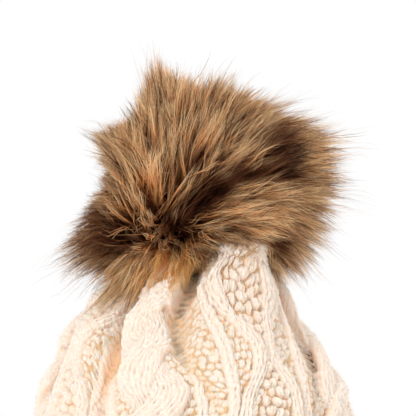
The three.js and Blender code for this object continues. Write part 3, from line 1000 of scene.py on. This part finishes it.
# The fringe: name, kind of hair, the two sides it hangs between in degrees, length, and how many locks.
FRINGES = [
    ("fringe_gold_right", "gold", (-84, -50), 36, 150),
    ("fringe_brown", "guard", (-60, -30), 47, 100),
    ("fringe_gold_front", "gold", (-34, -4), 46, 120),
]


def pom_pieces():
    """All the hair of the pom pom, as pieces with their materials."""
    kinds = {
        "guard": fur_material("fur_guard", DARK_HAIR, LIGHT_HAIR),
        "tips": fur_material("fur_tips", TIPPED_DARK, TIPPED_LIGHT),
        # The undercoat takes dark hair colours only: partly the underfur's own colour, partly painted shade
        # in the gaps between the locks.
        "under": fur_material("fur_under", DARK_HAIR, DARK_HAIR),
        "gold": fur_material("fur_gold", GOLD_DARK, GOLD_LIGHT),
    }
    crown = crown_wall()
    main = locks(
        rng.permutation(ball_places(LOCKS)), tufts=5, hairs=5, spread=2.6, length_share=1.0, lift_more=0.0,
        frizz=2.0, tone_shift=0.0,
    )
    usual = usual_reach(main[0])
    layers = []
    for name, kind, thickness, count, ways in LOOSER_FUR:
        layers.append((name, kind, thickness, locks(ball_places(count), *ways)))
    for name, kind, sides, length, count in FRINGES:
        layers.append((name, kind, FRINGE_HAIR, fringe(sides, length, count)))
    for k, part in enumerate(zip(*(np.array_split(side, LOCK_PIECES) for side in main))):
        layers.append((f"fur_locks_{k + 1}", "guard", LOCK_HAIR, part))
    made = []
    for name, kind, thickness, (curves, tone) in layers:
        curves = clear_of_crown(shaped(curves, usual), crown)
        thick = thickness * rng.uniform(0.75, 1.25, len(curves))
        painted = fur_tone(normalised((curves - POM_CENTRE) / BALL))
        if "fringe" in name:
            painted = np.full_like(painted, FRINGE_TONE)
        varied = tone[:, None] * (0.35 + 0.85 * np.clip(painted, 0, 1))
        made.append((tubes(name, curves, thick, painted + varied), kinds[kind]))
    return made


# ---- small sewn parts ----

PLY_OUT = 0.45  # from the middle of a yarn to the middle of a ply, as a share of half the yarn's thickness
PLY_HALF = 0.52  # half the thickness of a ply, the same way


def plied_ring(node, name, plies, twists):
    """A drawn yarn or cord: plies laid round a ring, in the space of the CAD ring."""
    low, high = bare_box(node)
    thick = (high[2] - low[2]) / 2
    radius = high[0] - thick
    middle = (low[2] + high[2]) / 2
    steps, sides = 220, 10
    turn = full_turn(steps).T
    round_it = full_turn(sides)
    points = []
    quads = []
    for ply in range(plies):
        twist = twists * turn + 2 * math.pi * ply / plies
        r = radius + PLY_OUT * thick * np.cos(twist) + PLY_HALF * thick * np.cos(round_it)
        z = middle + PLY_OUT * thick * np.sin(twist) + PLY_HALF * thick * np.sin(round_it)
        quads.append(grid_quads(steps + 1, sides)[:, ::-1] % (steps * sides) + ply * steps * sides)
        points.append(stacked(r * np.cos(turn), r * np.sin(turn), z).reshape(-1, 3))
    points = np.concatenate(points)
    # Painted shade: the yarn's colour lighter on the upper side of the ring and darker underneath, as light
    # falls from above.
    shade = np.clip(0.5 + 0.4 * (points[:, 2] - middle) / thick, 0, 1)
    uv = np.stack([np.linspace(0, 1, len(points)), (points[:, 2] - low[2]) / (high[2] - low[2])], -1)
    piece = make_piece(name, points, np.concatenate(quads), uv=uv, shade=shade)
    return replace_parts(piece, node)


# The lining hangs inside the folds of the knit: half-width and height, from its hem to the top.
LINING = [
    (86.4, 4), (86.4, 30), (86.6, 62), (88.2, 84), (84.5, 104), (76.5, 120), (67.5, 136), (58, 149),
    (48, 161), (38, 173), (28, 182), (18, 188), (8, 191), (1.2, 191.8),
]
FLEECE_THICK = 2.2
SEAM_GAP = 0.5  # between two gores
ALLOWANCE = 6.0  # width of the cloth turned in at a seam
HEM_HEIGHT = 11.0  # of the row of stitches
GORES = {"lining_front": 0, "lining_left": 90, "lining_back": 180, "lining_right": 270}


def slab(face, normals, thickness):
    """A closed sheet from a grid of points on its outside: (points, quads, uv)."""
    rows, columns = face.shape[:2]
    thick = np.broadcast_to(thickness, face.shape[:2])[..., None]
    points = np.concatenate([face.reshape(-1, 3), (face - normals * thick).reshape(-1, 3)])
    quads = grid_quads(rows, columns, wrap=False)
    total = rows * columns
    grid = np.arange(total).reshape(rows, columns)
    rim = np.concatenate([grid[0, :-1], grid[:-1, -1], grid[-1, :0:-1], grid[:0:-1, 0]])
    after = np.roll(rim, -1)
    walls = np.stack([rim, rim + total, after + total, after], -1)
    u, v = np.meshgrid(np.linspace(0, 1, columns), np.linspace(0, 1, rows))
    uv = np.tile(np.stack([u, v], -1).reshape(-1, 2), (2, 1))
    return points, np.concatenate([quads, quads[:, ::-1] + total, walls]), uv


def lining_gore(node, rows=110, columns=90):
    """A quarter of the fleece lining, a little rumpled, with its seam allowances turned in."""
    line = smooth_line(LINING, rows)
    middle = math.radians(GORES[node])
    half = np.maximum(math.pi / 4 - SEAM_GAP / 2 / line[:, :1], 0.02)
    turn = middle + half * np.linspace(-1, 1, columns)[None, :]
    tall = line[:, 1:]
    face = oval(turn, line[:, :1], tall)
    normals = normalised(np.cross(np.gradient(face, axis=1), np.gradient(face, axis=0)))
    slack = smoothstep(tall, 60, 130)
    rumple = 0.9 * slack * (ripple(turn, tall, 34, 21) - 1) + 0.3 * ripple(turn, tall, 9, 22)
    nap = 0.16 * ripple(turn, tall, 2.6, 23)
    from_seam = (half - np.abs(turn - middle)) * line[:, :1]
    allowance = 1.3 * (1 - smoothstep(from_seam, ALLOWANCE, ALLOWANCE + 1)) * smoothstep(tall, 4, 12)
    hem = 1 - smoothstep(tall, 14, 15)
    outside = face + normals * (rumple - 0.3)[..., None]
    points, quads, uv = slab(outside, normals, FLEECE_THICK + nap + allowance + hem)
    piece = make_piece(node + "_fleece", points, quads, uv=uv)
    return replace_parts(piece, node)


def sewn(name, starts, ends, out, thickness, rise):
    """A row of stitches: each a short thread from its start to its end, standing out in an arch."""
    t = np.linspace(0, 1, 7)[None, :, None]
    curves = starts[:, None] + (ends - starts)[:, None] * t + out[:, None] * (rise * np.sin(math.pi * t))
    count = len(starts)
    return tubes(name, curves, np.full(count, thickness), np.full((count, 7), 0.5))


def lining_stitches():
    """Overlock stitches across the four seams, and a row that holds the hem."""
    line = smooth_line(LINING, 150)[4:-8]
    rows = []
    for middle in GORES.values():
        for shift in (0.0, 0.4):
            seam = math.radians(middle + 45)
            at = line[::2] if shift == 0.0 else line[1::2]
            reach = 2.6 / at[:, 0]
            inner = at[:, 0] - FLEECE_THICK - 1.9
            starts = oval(seam - reach, inner, at[:, 1])
            ends = oval(seam + reach, inner, at[:, 1] + (1.5 if shift else -1.5))
            rows.append((starts, ends, -level(starts)))
    turn = full_turn(150)[0]
    inner = LINING[0][0] - FLEECE_THICK - 1.4
    starts = oval(turn, inner, HEM_HEIGHT)
    ends = oval(turn + 0.028, inner, HEM_HEIGHT)
    rows.append((starts, ends, -level(starts)))
    starts, ends, out = (np.concatenate(side) for side in zip(*rows))
    return sewn("lining_stitches", starts, ends, out, thickness=0.3, rise=0.5)


TAPE_THICK = 0.35
FORWARD = [0.0, -1.0, 0.0]  # towards the front of the hat


def behind_head(x):
    """How far back the inside of the lining is at x, where the label lies."""
    inner = LINING[0][0] - FLEECE_THICK - 1.0
    return HEAD_OVAL * np.sqrt(inner ** 2 - x ** 2)


def care_label():
    """A blank woven label, curved to the back of the lining and sewn down along both sides."""
    low, high = bare_box("care_label")
    half = (high[0] - low[0]) / 2
    x = np.linspace(-half, half, 40)[None, :]
    z = np.linspace(low[2], high[2], 50)[:, None]
    back = behind_head(x) - 0.3
    lift = 0.7 * smoothstep(z, high[2] - 12, high[2]) * np.cos(x / half * 1.4) ** 2
    weave = 0.05 * np.sin(z * 5.2) * np.sin(x * 5.2)
    edge = 0.16 * smoothstep(np.abs(x) / half, 0.86, 0.9)
    face = stacked(x, back - lift - weave - edge, z)
    points, quads, uv = slab(face, -np.broadcast_to(FORWARD, face.shape), TAPE_THICK)
    piece = make_piece("care_label_tape", points, quads, uv=uv)
    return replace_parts(piece, "care_label")


def label_stitches():
    """A row of running stitches down each side of the label."""
    low, high = bare_box("care_label")
    half = (high[0] - low[0]) / 2
    z = np.arange(low[2] + 1.5, high[2] - 1.5, 2.4)
    x = np.repeat([-0.88 * half, 0.88 * half], len(z))
    starts = stacked(x, behind_head(x) - 0.75, np.tile(z, 2))
    ends = starts + np.array([0, 0, 1.6])
    out = np.broadcast_to(FORWARD, starts.shape)
    return sewn("label_stitches", starts, ends, out, thickness=0.16, rise=0.25)


def filling():
    """Carded fibre packed inside the fur cover, in soft clumps."""
    low, high = bare_box("pom_filling")
    radius = (high[0] - low[0]) / 2 - 1.0
    rows, columns = 70, 110
    up = np.linspace(-math.pi / 2, math.pi / 2, rows)[:, None]
    turn = full_turn(columns)
    clumps = 0.6 * ripple(turn, up * radius, 16, 31) + 0.3 * ripple(turn, up * radius, 6, 32)
    r = radius + clumps * np.cos(up)
    z = np.maximum(POM_CENTRE[2] + r * np.sin(up), low[2] + 0.6 + 0.2 * clumps)
    points = stacked(r * np.cos(up) * np.cos(turn), r * np.cos(up) * np.sin(turn), z).reshape(-1, 3)
    uv = stacked(turn / (2 * math.pi), np.linspace(0, 1, rows)[:, None]).reshape(-1, 2)
    piece = make_piece("filling_fibre", points, grid_quads(rows, columns), uv=uv)
    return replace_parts(piece, "pom_filling")


FELT_HOLE = 2.5
FELT_OUTLINE = [  # radius and height, from the hole out over the underside and back over the top
    (FELT_HOLE, 0.1), (5, 0), (11.5, 0), (12.6, 0.2), (12.95, 0.75), (12.6, 1.3), (11.5, 1.5), (5, 1.5),
    (FELT_HOLE, 1.4),
]


def felt_disc():
    """The round of felt that the socket grips: soft edges, and a dimple at the hole."""
    low, high = bare_box("pom_backing_disc")
    rows, columns = 60, 120
    outline = smooth_line(FELT_OUTLINE, rows)
    turn = full_turn(columns)
    ragged = 0.08 * ripple(turn, 12 * outline[:, :1], 1.6, 41) * smoothstep(outline[:, :1], 3, 12)
    r = outline[:, :1] + ragged
    z = low[2] + outline[:, 1:] + 0.5 * ragged
    points = stacked(r * np.cos(turn), r * np.sin(turn), z).reshape(-1, 3)
    uv = stacked(turn / (2 * math.pi), np.linspace(0, 1, rows)[:, None]).reshape(-1, 2)
    quads = grid_quads(rows + 1, columns) % (rows * columns)
    piece = make_piece("felt_disc", points, quads, uv=uv)
    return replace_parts(piece, "pom_backing_disc")


def dressed(node, material):
    """A CAD node that keeps its shape and gets a better finish."""
    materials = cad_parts[node].data.materials
    materials.clear()
    materials.append(material)


def finished(piece, material, body):
    """A piece given its material and the body it rides on."""
    piece.data.materials.append(material)
    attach(piece, body)
    return piece


# ---- staging ----

def area_light(name, place, target, size, power):
    """A round lamp that faces its target."""
    data = bpy.data.lights.new(name, "AREA")
    data.shape = "DISK"
    data.size = size
    data.energy = power
    light = bpy.data.objects.new(name, data)
    light.location = place
    light.rotation_euler = (Vector(target) - Vector(place)).to_track_quat("-Z", "Y").to_euler()
    bpy.context.scene.collection.objects.link(light)


VIEW_WIDTH = 0.229  # of the picture, in metres at the hat
VIEW_MIDDLE = Vector((0.007, -0.03, 0.235))


def camera():
    """A long lens, level, in front of the crown."""
    data = bpy.data.cameras.new("camera")
    data.lens = 180
    data.sensor_width = 36
    distance = VIEW_WIDTH * data.lens / data.sensor_width
    holder = bpy.data.objects.new("camera", data)
    holder.location = VIEW_MIDDLE + Vector((0, -distance, 0))
    holder.rotation_euler = (math.radians(90), 0, 0)
    bpy.context.scene.collection.objects.link(holder)
    bpy.context.scene.camera = holder


def floor():
    """A round white floor, a little below the rim so that the two never share a plane."""
    columns = 64
    turn = full_turn(columns)[0]
    rings = [stacked(r * np.cos(turn), r * np.sin(turn), -0.4) for r in (900.0, 1.0)]
    piece = make_piece("floor", np.concatenate(rings), grid_quads(2, columns))
    material, tree, shader = new_material("floor", 0.8)
    colour = ramp(tree, noise(tree, 6.0), [(0.0, (242, 242, 240)), (1.0, (250, 250, 249))])
    tree.links.new(colour, shader.inputs["Base Color"])
    piece.data.materials.append(material)


ROOM_LIGHT = 0.79  # the white surroundings, as light on the hat


def studio():
    """Three lamps in white surroundings, which the camera sees as plain white."""
    scene = bpy.context.scene
    scene.view_settings.view_transform = "Standard"
    world = bpy.data.worlds.new("studio")
    world.use_nodes = True
    tree = world.node_tree
    shown = tree.nodes.new("ShaderNodeLightPath").outputs["Is Camera Ray"]
    strength = tree.nodes.new("ShaderNodeMapRange")
    strength.inputs["To Min"].default_value = ROOM_LIGHT
    tree.links.new(shown, strength.inputs["Value"])
    tree.nodes["Background"].inputs["Color"].default_value = (1, 1, 1, 1)
    tree.links.new(strength.outputs["Result"], tree.nodes["Background"].inputs["Strength"])
    scene.world = world
    aim = (0, 0, 0.2)
    area_light("key", (-0.8, -1.0, 1.1), aim, size=0.5, power=14)
    area_light("fill", (1.2, -1.0, 0.5), aim, size=0.8, power=5.5)
    area_light("back", (0.6, 1.0, 0.9), aim, size=0.6, power=9)


# ---- assembly ----

camera()
studio()
floor()
yarn = yarn_material()
fuzzy = fuzz_material()
body, body_fuzz = knit_body()
finished(body, yarn, "hat")
finished(body_fuzz, fuzzy, "hat")
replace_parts(body, "knit_body")
cuff, cuff_fuzz = cuff_fabric()
finished(cuff, yarn, "cuff")
finished(cuff_fuzz, fuzzy, "cuff")
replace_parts(cuff, "turned_cuff")
gather = plied_ring("crown_gather_yarn", "gather_yarn_plies", plies=3, twists=9)
finished(gather, yarn, "crown_tip")

pelt = finished(pom_pelt(), pelt_and_shade_material(), "pom")
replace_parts(pelt, "pom_fur_cover")
for hair, material in pom_pieces():
    finished(hair, material, "pom")
felt = felt_material()
finished(filling(), fibre_material(), "pom")
finished(felt_disc(), felt, "pom")
drawstring = plied_ring("pom_gather_cord", "gather_cord_plies", plies=2, twists=34)
finished(drawstring, felt, "pom")

fleece = fleece_material()
for node in GORES:
    finished(lining_gore(node), fleece, "hat")
finished(lining_stitches(), fuzzy, "hat")
label = label_material()
finished(care_label(), label, "hat")
finished(label_stitches(), fuzzy, "hat")
steel = steel_material()
for node in ("snap_stud", "snap_stud_cap", "snap_ring_spring", "snap_socket", "snap_socket_cap"):
    dressed(node, steel)
